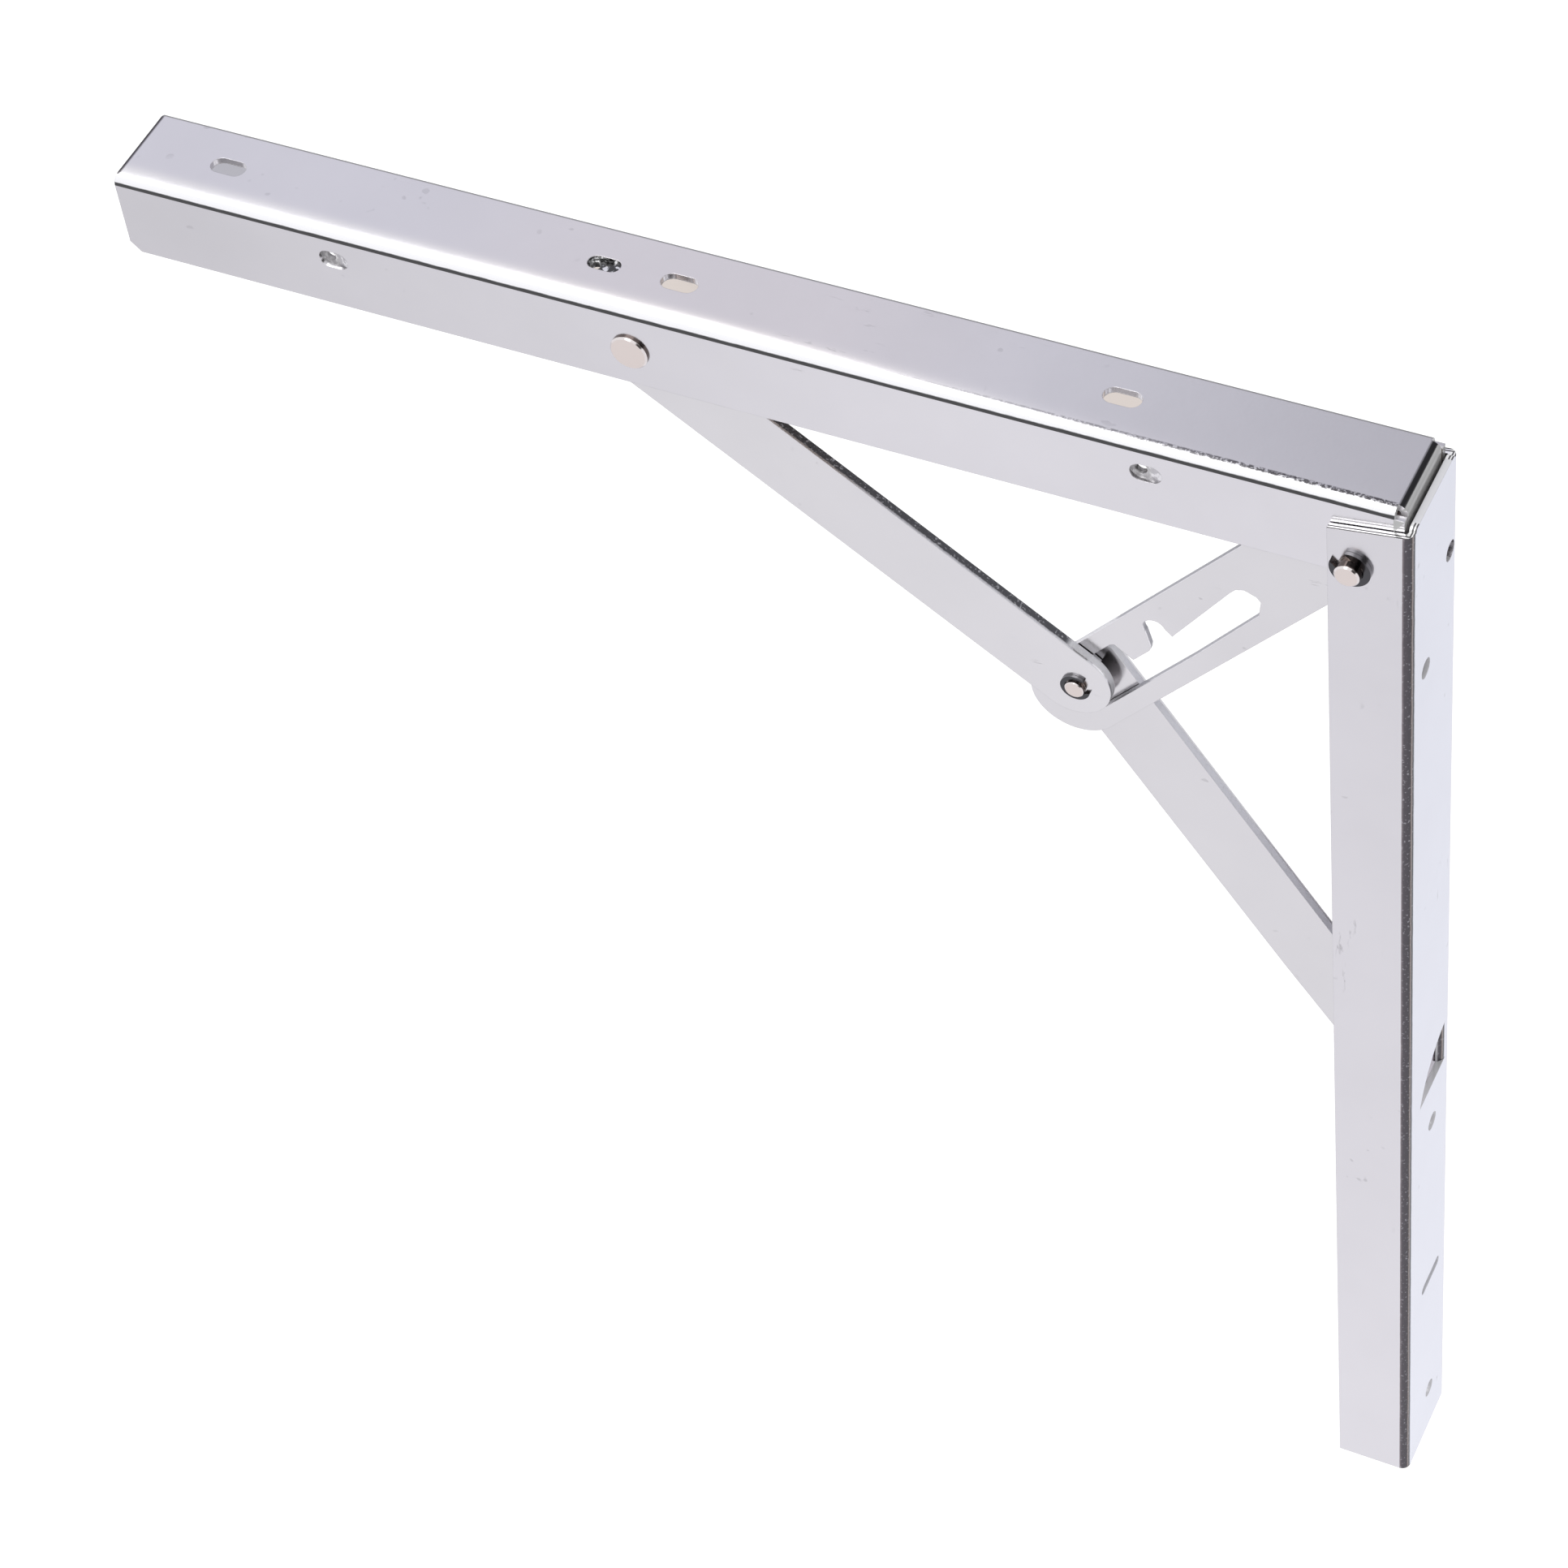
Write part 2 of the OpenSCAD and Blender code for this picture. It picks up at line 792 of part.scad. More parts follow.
module lower_outline() {
    polygon([
        [0, -low_edge],
        [low_full, -low_edge],
        foot + [0, -foot_grip * low_foot_r],
        foot + [0, foot_grip * low_foot_r],
        [low_full, low_up],
        [-low_over + low_corner_r, low_up],
        [-low_over, low_up - low_corner_r],
        [-low_over, 0]
    ]);
    circle(r = low_edge);
    translate([-low_over + low_corner_r, low_up - low_corner_r])
        circle(r = low_corner_r);
    translate(foot)
        circle(r = low_foot_r);
}

module lower_strut() {
    color(zinc_plate)
        plate(lower_y, strut_t)
            translate(elbow)
                rotate(lower_angle + lower_skew)
                    difference() {
                        lower_outline();
                        circle(r = pin_r + run_gap);
                        translate(foot)
                            circle(r = ear_pin_d / 2 + press_gap);
                    }
}

module lower_strut_rivet() {
    color(steel_pin) {
        bevelled_front(ear_hole, low_foot_r - edge_break, lower_y - tail_t, lower_y, edge_break / 2);
        bar(ear_hole, ear_pin_d / 2, lower_y, lower_y + strut_t);
    }
}

wall_channel();
main_pivot_pin();
main_pin_ring();
front_spacer();
back_spacer();
ear_pin();
shelf_arm();
arm_rivet();
lock_plate();
elbow_pin();
elbow_ring();
upper_strut();
upper_strut_rivet();
lower_strut();
lower_strut_rivet();
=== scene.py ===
"""Looks of the folding shelf bracket: plated sheet, cut edges, bright pins, stage and camera."""

import math

import bpy
from mathutils import Matrix, Vector


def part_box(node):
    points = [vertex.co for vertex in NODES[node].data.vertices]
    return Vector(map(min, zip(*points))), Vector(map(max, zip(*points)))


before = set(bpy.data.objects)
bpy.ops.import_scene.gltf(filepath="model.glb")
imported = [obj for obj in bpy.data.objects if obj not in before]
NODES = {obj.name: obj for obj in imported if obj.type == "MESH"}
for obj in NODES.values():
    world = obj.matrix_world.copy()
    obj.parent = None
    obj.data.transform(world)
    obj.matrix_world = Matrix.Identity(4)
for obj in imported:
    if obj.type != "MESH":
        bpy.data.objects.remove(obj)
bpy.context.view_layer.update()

bl_info = {
    "name": "Folding Shelf Bracket",
    "version": (1, 0, 0),
    "blender": (4, 5, 0),
    "location": "3D View > Sidebar > Bracket",
    "description": "Finishes the pieces of a folding shelf bracket and sets its studio",
    "category": "Object",
}

MM = 0.001
QUARTER_TURN = math.pi / 2

# Thickness of the channels' sheet, and depth of the plating's fine relief
SHEET = 2.0 * MM
RELIEF = 12e-6
PIN_RELIEF = 8e-6
RING_RELIEF = 10e-6

# Places of the dents in the arm, from the wall and below the shelf face
TOP_DENT_AT = 240.3 * MM
DENT_TIP = 319.6 * MM
DENT_ROOT = 74.6 * MM
DENT_DROP = 10.0 * MM

# Corners of the two channels, front of the upper strut, and the elbow's place along x
ARM_LOW, ARM_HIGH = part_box("shelf_arm")
WALL_LOW, WALL_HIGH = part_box("wall_channel")
STRUT_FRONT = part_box("upper_strut")[0].y
ELBOW_AT = sum(corner.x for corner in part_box("elbow_pin")) / 2

# Colour stops: place, grey or colour, and how far it covers what lies below where that isn't 1

# Painted reflections around the arm's folds, a dark line and a bright highlight band, from 0 on the flange to 1 on the
# shelf face
NEAR_FOLD_REFLECTION = ((0.015, 0.1, 0.0), (0.04, 0.085), (0.24, 0.075), (0.31, 1.0), (0.72, 1.0), (0.97, 0.9, 0.0))
FAR_FOLD_REFLECTION = ((0.36, 0.9, 0.0), (0.46, 0.06), (0.66, 0.075), (0.86, 0.3, 0.0))

# Painted dark reflection around the fold at the wall, then the end flap painted light grey, from 0 on the shelf face
# to 1 on the end flap
END_FOLD_SHADING = ((0.04, 0.3, 0.0), (0.12, 0.07), (0.42, 0.05), (0.48, 0.44), (1.0, 0.52))

# Inside of the arm's far flange, from the tip to the wall, with painted shade: grey near the tip, lighter and warmer
# towards the wall
FAR_INSIDE_SHADING = ((0.0, (0.50, 0.50, 0.53)), (0.17, (0.52, 0.51, 0.53)), (0.30, (0.78, 0.71, 0.64)))

# Sheared sides of the dents, torn, with painted shade and painted bright highlights, from dark to bright
DENT_TEAR_AND_GLINTS = ((0.44, 0.07), (0.54, 0.22), (0.60, 0.85))

# Painted reflection around the wall channel's folds, from 0 on the flange to 1 on the web
FOLD_STRIP_REFLECTION = (
    (0.02, (0.30, 0.27, 0.28), 0.0),
    (0.05, (0.26, 0.23, 0.24)),
    (0.14, (0.115, 0.105, 0.115)),
    (0.52, (0.085, 0.08, 0.088)),
    (0.60, (0.09, 0.08, 0.075)),
    (0.66, (0.36, 0.31, 0.29)),
    (0.71, (0.30, 0.27, 0.26)),
    (0.76, (0.05, 0.055, 0.06)),
    (0.84, (0.13, 0.14, 0.15)),
    (0.93, (0.5, 0.5, 0.52), 0.0),
)

# Painted bright bands with painted dark reflection and shadow lines across the wall channel's top edge, from 0 outside
# to 1 inside
TOP_EDGE_SHADING = ((0.0, 0.05), (0.19, 0.06), (0.25, 1.0), (0.37, 1.0), (0.43, 0.02), (0.60, 0.02), (0.66, 1.0))

# Studio above and behind the object, from 0 on its left to 1 on its right
CEILING = (
    (0.0, (0.775, 0.78, 0.88)),
    (0.335, (0.79, 0.79, 0.87)),
    (0.36, (0.67, 0.67, 0.735)),
    (0.385, (0.56, 0.56, 0.62)),
    (0.45, (0.37, 0.37, 0.41)),
    (0.55, (0.36, 0.36, 0.40)),
    (0.78, (0.34, 0.34, 0.38)),
    (0.83, (0.97, 0.97, 1.0)),
)

# Colours of small features
PIT = (0.55, 0.54, 0.57)
# Painted highlight on the cut sides of the web's holes and window
HOLE_SIDE_HIGHLIGHT = (0.78, 0.78, 0.80)
# Painted highlight on the plates' cut edges at the elbow
ELBOW_CUT_HIGHLIGHT = (0.8, 0.8, 0.84)
GRIT = (0.75, 0.75, 0.79)
BURNISHED = (0.95, 0.95, 0.97)
PIN_BEVEL = (0.80, 0.75, 0.73)
# Painted shade on the pins' sides
PIN_SIDE_SHADE = (0.16, 0.13, 0.12)
RING_RIM = (0.45, 0.44, 0.46)

# How much lighter the cut edges of the lock plate and the lower strut are painted than the upper strut's, as painted
# light on the same torn edge
LOCK_CUT_LIGHTING = 3.4
LOWER_CUT_LIGHTING = 6.4

# Colours of the stage
WHITE = (1.0, 1.0, 1.0)
STUDIO_WHITE = (0.97, 0.97, 1.0)
STUDIO_DARK = (0.08, 0.075, 0.075)
HORIZON = (0.66, 0.66, 0.70)
FLOOR_GREY = (0.82, 0.82, 0.82)
FLOOR_REFLECTED = (0.96, 0.955, 1.0)
FLOOR_DISTANT = (0.62, 0.62, 0.66)

# Key lamp, in metres
KEY_PLACE = (-0.9, -0.9, 2.2)
KEY_TARGET = (-0.15, 0.0, -0.1)
KEY_SIZE = 2.4

# Camera, from the photograph's vanishing directions: degrees, metres, and pixels of a 1932 px frame
CAMERA_TURN = 31.8494
CAMERA_RISE = 49.0584
CAMERA_ROLL = -8.6203
CAMERA_PLACE = (0.282698, -0.790121, 0.887785)
FOCAL_PIXELS = 5735.69
FRAME_PIXELS = 1932
SENSOR_MM = 36.0


def colour_property(name, description, default):
    return bpy.props.FloatVectorProperty(
        name=name, description=description, subtype="COLOR", size=3, min=0.0, max=1.0, default=default
    )


def length_property(name, description, low, high, default):
    return bpy.props.FloatProperty(
        name=name, description=description, subtype="DISTANCE", unit="LENGTH", min=low, max=high, default=default
    )


class BRACKET_PG_finish(bpy.types.PropertyGroup):
    sheet_colour: colour_property("Sheet Colour", "Reflected colour of the plated channels", (0.76, 0.745, 0.765))
    plate_colour: colour_property(
        "Plate Colour", "Reflected colour of the struts and the lock plate", (0.745, 0.732, 0.74)
    )
    web_colour: colour_property("Web Colour", "Cooler colour of the wall channel's web", (0.80, 0.82, 0.885))
    warm_colour: colour_property("Warm Stain", "Warm tint in the plating of the shelf face", (0.80, 0.755, 0.745))
    # Dark colour painted as a reflection line beside the arm's near fold, also used for the dark line at the arm's tip
    dark_line_colour: colour_property(
        "Bend Colour", "Dark colour of the strained plating on the folds", (0.088, 0.083, 0.09)
    )
    # Torn edge colour: partly the torn steel's own dark, partly painted shade on the upper strut
    cut_colour: colour_property("Cut Edge Colour", "Colour of the torn part of the sheared edges", (0.12, 0.12, 0.13))
    pin_colour: colour_property("Pin Colour", "Reflected colour of the pins and rivets", (0.78, 0.70, 0.655))
    ring_colour: colour_property("Snap Ring Colour", "Reflected colour of the two snap rings", (0.075, 0.075, 0.08))
    sheet_roughness: bpy.props.FloatProperty(
        name="Sheet Roughness",
        description="How much the plating blurs its reflections",
        subtype="FACTOR",
        min=0.0,
        max=1.0,
        default=0.2,
    )
    edge_radius: length_property("Edge Radius", "Radius of the worn edges in the reflections", 0.0, 0.002, 0.0003)


class BRACKET_PG_stage(bpy.types.PropertyGroup):
    floor_drop: length_property("Floor Drop", "Height of the floor below the wall channel's lower end", 0.0, 1.0, 0.12)
    floor_size: length_property("Floor Size", "Side of the square floor", 1.0, 40.0, 24.0)
    key_power: bpy.props.FloatProperty(
        name="Key Lamp Power",
        description="Power of the large lamp above",
        subtype="POWER",
        min=0.0,
        max=1000.0,
        default=34.0,
    )
    ambient: bpy.props.FloatProperty(
        name="Ambient Light",
        description="Strength of the even light from all round",
        min=0.0,
        max=2.0,
        default=0.72,
    )


# Node tools


def add(tree, kind, **values):
    node = tree.nodes.new(kind)
    for name, value in values.items():
        setattr(node, name, value)
    return node


def feed(tree, source, target):
    tree.links.new(source, target)


def put(node, **values):
    for name, value in values.items():
        node.inputs[name.replace("_", " ")].default_value = value


def fill(tree, socket, value):
    """Feeds a socket from another one, or sets its number, vector or colour."""
    if isinstance(value, bpy.types.NodeSocket):
        feed(tree, value, socket)
    elif isinstance(value, (int, float)):
        socket.default_value = value
    else:
        socket.default_value = (*value, 1.0)[: len(socket.default_value)]


def fill_all(tree, node, *values):
    for socket, value in zip(node.inputs, values):
        fill(tree, socket, value)
    return node.outputs[0]


def maths(tree, operation, *values):
    return fill_all(tree, add(tree, "ShaderNodeMath", operation=operation), *values)


def absolute(tree, value):
    return maths(tree, "ABSOLUTE", value)


def inverse(tree, value):
    return maths(tree, "SUBTRACT", 1.0, value)


def product(tree, first, *others):
    for other in others:
        first = maths(tree, "MULTIPLY", first, other)
    return first


def band(tree, value, low, high):
    """Rises smoothly from 0 at low to 1 at high."""
    node = add(tree, "ShaderNodeMapRange", interpolation_type="SMOOTHSTEP")
    fill_all(tree, node, value, low, high)
    return node.outputs["Result"]


def slide(tree, value, low, high, first, second):
    """Goes evenly from first at low to second at high, and stays there."""
    node = add(tree, "ShaderNodeMapRange")
    fill_all(tree, node, value, low, high, first, second)
    return node.outputs["Result"]


def near(tree, value, centre, half, soft):
    """1 within half of the centre, falling to 0 over the soft distance."""
    away = absolute(tree, maths(tree, "SUBTRACT", value, centre))
    return inverse(tree, band(tree, away, half, half + soft))


def noise(tree, vector, scale, detail=3.0, roughness=0.55):
    node = add(tree, "ShaderNodeTexNoise")
    feed(tree, vector, node.inputs["Vector"])
    put(node, Scale=scale, Detail=detail, Roughness=roughness)
    return node.outputs["Fac"]


def ramp(tree, value, stops):
    """Colour and alpha along a value."""
    node = add(tree, "ShaderNodeValToRGB")
    feed(tree, value, node.inputs[0])
    elements = node.color_ramp.elements
    while len(elements) < len(stops):
        elements.new(1.0)
    for element, (at, colour, *alpha) in zip(elements, stops):
        element.position = at
        element.color = (*(colour if isinstance(colour, tuple) else (colour,) * 3), *(alpha or (1.0,)))
    return node.outputs[0], node.outputs[1]


def mix(tree, factor, first, second):
    """Colour that goes from the first to the second."""
    node = add(tree, "ShaderNodeMix", data_type="RGBA")
    for index, value in ((0, factor), (6, first), (7, second)):
        fill(tree, node.inputs[index], value)
    return node.outputs[2]


def scaled(tree, colour, factor):
    node = add(tree, "ShaderNodeVectorMath", operation="SCALE")
    fill(tree, node.inputs[0], colour)
    fill(tree, node.inputs["Scale"], factor)
    return node.outputs[0]


def split(tree, vector):
    node = add(tree, "ShaderNodeSeparateXYZ")
    feed(tree, vector, node.inputs[0])
    return node.outputs


def arrange(tree):
    """Lays the nodes out in columns, each one left of all that it feeds."""
    column_width, row_height = 260, 240
    columns = {node.name: 0 for node in tree.nodes}
    moved = True
    while moved:
        moved = False
        for link in tree.links:
            least = columns[link.to_node.name] + 1
            if columns[link.from_node.name] < least:
                columns[link.from_node.name] = least
                moved = True
    rows = {}
    for name, column in columns.items():
        row = rows[column] = rows.get(column, -1) + 1
        tree.nodes[name].location = (-column_width * column, -row_height * row)


# Shared effects

GROUPS = {}


def new_group(name, numbers, results):
    """Group that takes a vector and numbers and puts out numbers."""
    tree = bpy.data.node_groups.new(name, "ShaderNodeTree")
    tree.interface.new_socket(name="Vector", in_out="INPUT", socket_type="NodeSocketVector")
    for label, default in numbers.items():
        socket = tree.interface.new_socket(name=label, in_out="INPUT", socket_type="NodeSocketFloat")
        socket.default_value = default
    for label in results:
        tree.interface.new_socket(name=label, in_out="OUTPUT", socket_type="NodeSocketFloat")
    return tree, add(tree, "NodeGroupInput").outputs, add(tree, "NodeGroupOutput").inputs


def group_node(tree, key, **values):
    node = add(tree, "ShaderNodeGroup", node_tree=GROUPS[key])
    for name, value in values.items():
        fill(tree, node.inputs[name], value)
    return node.outputs


def plating_group():
    """Soft clouds, fine grain and stray specks in the plating."""
    tree, start, end = new_group("Plating Clouds", {"Clouds": 0.06, "Specks": 0.5}, ("Shade", "Height"))
    vector = start["Vector"]
    clouds = noise(tree, vector, 22.0, 4.0, 0.6)
    grain = noise(tree, vector, 900.0, 2.0)
    soft = noise(tree, vector, 160.0, 3.0)
    dots = noise(tree, vector, 260.0, 1.0)
    places = noise(tree, vector, 30.0, 2.0)
    clouds = product(tree, maths(tree, "SUBTRACT", clouds, 0.5), start["Clouds"])
    specks = product(tree, band(tree, dots, 0.70, 0.78), band(tree, places, 0.52, 0.66), start["Specks"])
    feed(tree, maths(tree, "SUBTRACT", maths(tree, "ADD", 1.0, clouds), specks), end["Shade"])
    feed(tree, maths(tree, "MULTIPLY_ADD", grain, 0.5, soft), end["Height"])
    return tree


def scuff_group():
    """Short dark rub marks that run along one direction."""
    tree, start, end = new_group("Scuff Marks", {"Amount": 0.5}, ("Mask",))
    vector = start["Vector"]
    stretch = add(tree, "ShaderNodeMapping")
    feed(tree, vector, stretch.inputs["Vector"])
    put(stretch, Scale=(90.0, 500.0, 420.0))
    lines = noise(tree, stretch.outputs[0], 1.0, 4.0, 0.7)
    places = noise(tree, vector, 16.0, 2.0)
    mask = product(tree, band(tree, lines, 0.60, 0.74), band(tree, places, 0.56, 0.68), start["Amount"])
    feed(tree, mask, end["Mask"])
    return tree


def fold_group():
    """How far a folded edge has turned from its side face to its main face, and its pits."""
    tree, start, end = new_group("Fold Strain", {"Side": 0.0, "Face": 1.0}, ("Turn", "Height"))
    angle = maths(tree, "ARCTAN2", absolute(tree, start["Face"]), absolute(tree, start["Side"]))
    turn = maths(tree, "DIVIDE", angle, QUARTER_TURN)
    strained = product(tree, band(tree, turn, 0.03, 0.12), inverse(tree, band(tree, turn, 0.80, 0.95)))
    pits = noise(tree, start["Vector"], 1500.0, 2.0, 0.6)
    feed(tree, turn, end["Turn"])
    feed(tree, product(tree, strained, pits), end["Height"])
    return tree


def cut_group():
    """Torn and burnished layers of a sheared edge, across the sheet's thickness."""
    tree, start, end = new_group("Sheared Edge", {"Across": 0.0, "Flat": 1.0}, ("Torn", "Bright"))
    edge = inverse(tree, band(tree, absolute(tree, start["Flat"]), 0.25, 0.5))
    jagged = noise(tree, start["Vector"], 700.0, 3.0, 0.7)
    depth = maths(tree, "MULTIPLY_ADD", jagged, 0.25, start["Across"])
    feed(tree, product(tree, edge, band(tree, depth, 0.30, 0.44)), end["Torn"])
    feed(tree, product(tree, edge, inverse(tree, band(tree, depth, 0.20, 0.30))), end["Bright"])
    return tree


# Parts of the materials


def new_material(name):
    """Material with its nodes, its shader, and the place and the normal of each surface point."""
    material = bpy.data.materials.new(name)
    material.use_nodes = True
    tree = material.node_tree
    tree.nodes.clear()
    shader = add(tree, "ShaderNodeBsdfPrincipled")
    out = add(tree, "ShaderNodeOutputMaterial")
    feed(tree, shader.outputs[0], out.inputs[0])
    coords = add(tree, "ShaderNodeTexCoord").outputs
    return material, tree, shader, coords["Object"], coords["Normal"]


def finish_surface(tree, shader, height, radius, depth):
    """Rounds the edges in the reflections and adds the fine relief."""
    worn = add(tree, "ShaderNodeBevel", samples=4)
    put(worn, Radius=radius)
    relief = add(tree, "ShaderNodeBump")
    put(relief, Strength=1.0, Distance=depth)
    feed(tree, height, relief.inputs["Height"])
    feed(tree, worn.outputs[0], relief.inputs["Normal"])
    feed(tree, relief.outputs[0], shader.inputs["Normal"])


def sheet_roughness(tree, finish, height):
    return maths(tree, "MULTIPLY_ADD", height, 0.06, finish.sheet_roughness - 0.05)


def ragged(tree, vector, turn):
    """Lets the lines along a fold wander a little."""
    wander = maths(tree, "SUBTRACT", noise(tree, vector, 150.0, 4.0, 0.65), 0.5)
    return maths(tree, "MULTIPLY_ADD", wander, 0.09, turn)


def web_roll(tree, along, across):
    """Fall of the shelf face towards its folds, steep at the near one, in units of the relief."""
    reach = 9.0 * MM
    past = maths(tree, "SUBTRACT", absolute(tree, across), ARM_HIGH.y - reach)
    past = maths(tree, "MAXIMUM", past, 0.0)
    steep = slide(tree, across, -MM, MM, 0.5, 0.07)
    steep = product(tree, steep, slide(tree, along, -0.2, -0.06, 1.0, 0.3))
    return product(tree, past, past, steep, 1.0 / (2 * reach * RELIEF))


def dent_mask(tree, px, py, pz):
    """The sheared sides of the three dents, below the faces they are pressed into."""
    shallow, deep = 0.25 * MM, 3.8 * MM
    middle, half = (deep + shallow) / 2, (deep - shallow) / 2
    top_dent = product(
        tree,
        near(tree, maths(tree, "SUBTRACT", ARM_HIGH.z, pz), middle, half, 0.05 * MM),
        near(tree, px, -TOP_DENT_AT, 5.6 * MM, 0.1 * MM),
        near(tree, py, 0.0, 3.0 * MM, 0.1 * MM),
    )
    centre = (DENT_TIP + DENT_ROOT) / 2
    mirrored = absolute(tree, maths(tree, "ADD", px, centre))
    front_dents = product(
        tree,
        near(tree, maths(tree, "SUBTRACT", py, ARM_LOW.y), middle, half, 0.05 * MM),
        near(tree, mirrored, DENT_TIP - centre, 5.2 * MM, 0.1 * MM),
        near(tree, pz, ARM_HIGH.z - DENT_DROP, 3.5 * MM, 0.1 * MM),
        0.35,
    )
    return maths(tree, "MAXIMUM", top_dent, front_dents)


def shelf_arm_material(finish):
    """Plated arm: grey faces, warm stain on the shelf face, and a painted bright highlight with a painted dark
    reflection line along the fold.
    """
    material, tree, shader, place, normal = new_material("Plated Shelf Arm")
    nx, ny, nz = split(tree, normal)
    px, py, pz = split(tree, place)
    plating = group_node(tree, "plating", Vector=place, Clouds=0.10, Specks=0.14)
    scuffs = group_node(tree, "scuffs", Vector=place, Amount=0.3)
    fold = group_node(tree, "fold", Vector=place, Side=ny, Face=nz)
    top = band(tree, nz, 0.9, 1.0)
    upper = band(tree, nz, 0.0, 0.1)

    # Flat faces: warm in the middle of the shelf face, flanges painted darker towards the tip as shade
    shelf_face = product(tree, top, band(tree, pz, ARM_HIGH.z - 1.2 * MM, ARM_HIGH.z - 0.8 * MM))
    warm = product(tree, near(tree, px, -0.205, 0.02, 0.09), shelf_face, 0.6)
    colour = mix(tree, warm, finish.sheet_colour, finish.warm_colour)
    flange = band(tree, absolute(tree, ny), 0.6, 0.9)
    tip_shade = product(tree, flange, slide(tree, px, ARM_LOW.x, -0.14, 0.17, 0.0))
    shade = maths(tree, "SUBTRACT", plating["Shade"], scuffs["Mask"])
    colour = scaled(tree, colour, maths(tree, "SUBTRACT", shade, tip_shade))

    # Inside of the far flange, seen through the slots, with painted light and shade along its length
    far_inside = product(tree, band(tree, ny, -0.8, -0.9), band(tree, py, 0.0, 12 * MM))
    inside_shading, _ = ramp(tree, slide(tree, px, ARM_LOW.x, ARM_HIGH.x, 0.0, 1.0), FAR_INSIDE_SHADING)
    colour = mix(tree, far_inside, colour, inside_shading)

    # Folds to the two flanges: painted dark reflection lines, and a painted bright highlight band on the near fold
    front = maths(tree, "LESS_THAN", py, 0.0)
    near_fold_reflection, near_mask = ramp(tree, ragged(tree, place, fold["Turn"]), NEAR_FOLD_REFLECTION)
    colour = mix(tree, product(tree, near_mask, front, upper), colour, near_fold_reflection)
    far_fold_reflection, far_mask = ramp(tree, fold["Turn"], FAR_FOLD_REFLECTION)
    colour = mix(tree, product(tree, far_mask, inverse(tree, front), upper, 0.95), colour, far_fold_reflection)

    # Dark line painted beside the near fold as a reflection, broken into specks, denser towards the wall
    fold_specks = band(tree, noise(tree, place, 900.0, 4.0, 0.8), 0.40, 0.54)
    fold_edge_shade = near(tree, py, ARM_LOW.y + 2.7 * MM, 0.5 * MM, 0.5 * MM)
    fold_edge_shade = product(tree, fold_edge_shade, upper, fold_specks, slide(tree, px, -0.16, -0.04, 0.0, 0.95))
    colour = mix(tree, fold_edge_shade, colour, finish.dark_line_colour)

    # Fold to the end flap: a painted dark reflection line, then a light upright face, painted light grey in place of
    # its bright reflection, that mirrors less
    turn = maths(tree, "DIVIDE", maths(tree, "ARCTAN2", nx, nz), QUARTER_TURN)
    at_wall = maths(tree, "GREATER_THAN", px, ARM_HIGH.x - 3.0 * MM)
    end_fold_shading, end_mask = ramp(tree, turn, END_FOLD_SHADING)
    colour = mix(tree, product(tree, end_mask, at_wall), colour, end_fold_shading)
    flap = product(tree, band(tree, turn, 0.42, 0.5), at_wall, 0.8)

    # Dark line at the tip's cut edge, and the torn sheet of the dents with painted shade and painted highlights
    tip = inverse(tree, band(tree, px, ARM_LOW.x + 0.4 * MM, ARM_LOW.x + 1.2 * MM))
    colour = mix(tree, product(tree, tip, top), colour, finish.dark_line_colour)
    tear_and_glints, _ = ramp(tree, noise(tree, place, 650.0, 2.0), DENT_TEAR_AND_GLINTS)
    colour = mix(tree, dent_mask(tree, px, py, pz), colour, tear_and_glints)

    # The inside mirrors less too, so that it isn't black from below
    within = near(tree, py, 0.0, ARM_HIGH.y - 1.2 * MM, 0.2 * MM)
    below = maths(tree, "LESS_THAN", pz, ARM_HIGH.z - 1.6 * MM)
    hollow = product(tree, within, below, inverse(tree, far_inside), 0.6)

    feed(tree, colour, shader.inputs["Base Color"])
    feed(tree, inverse(tree, maths(tree, "MAXIMUM", flap, hollow)), shader.inputs["Metallic"])
    feed(tree, sheet_roughness(tree, finish, plating["Height"]), shader.inputs["Roughness"])
    height = maths(tree, "MULTIPLY_ADD", fold["Height"], 3.0, plating["Height"])
    height = maths(tree, "SUBTRACT", height, web_roll(tree, px, py))
    finish_surface(tree, shader, height, finish.edge_radius, RELIEF)
    return material


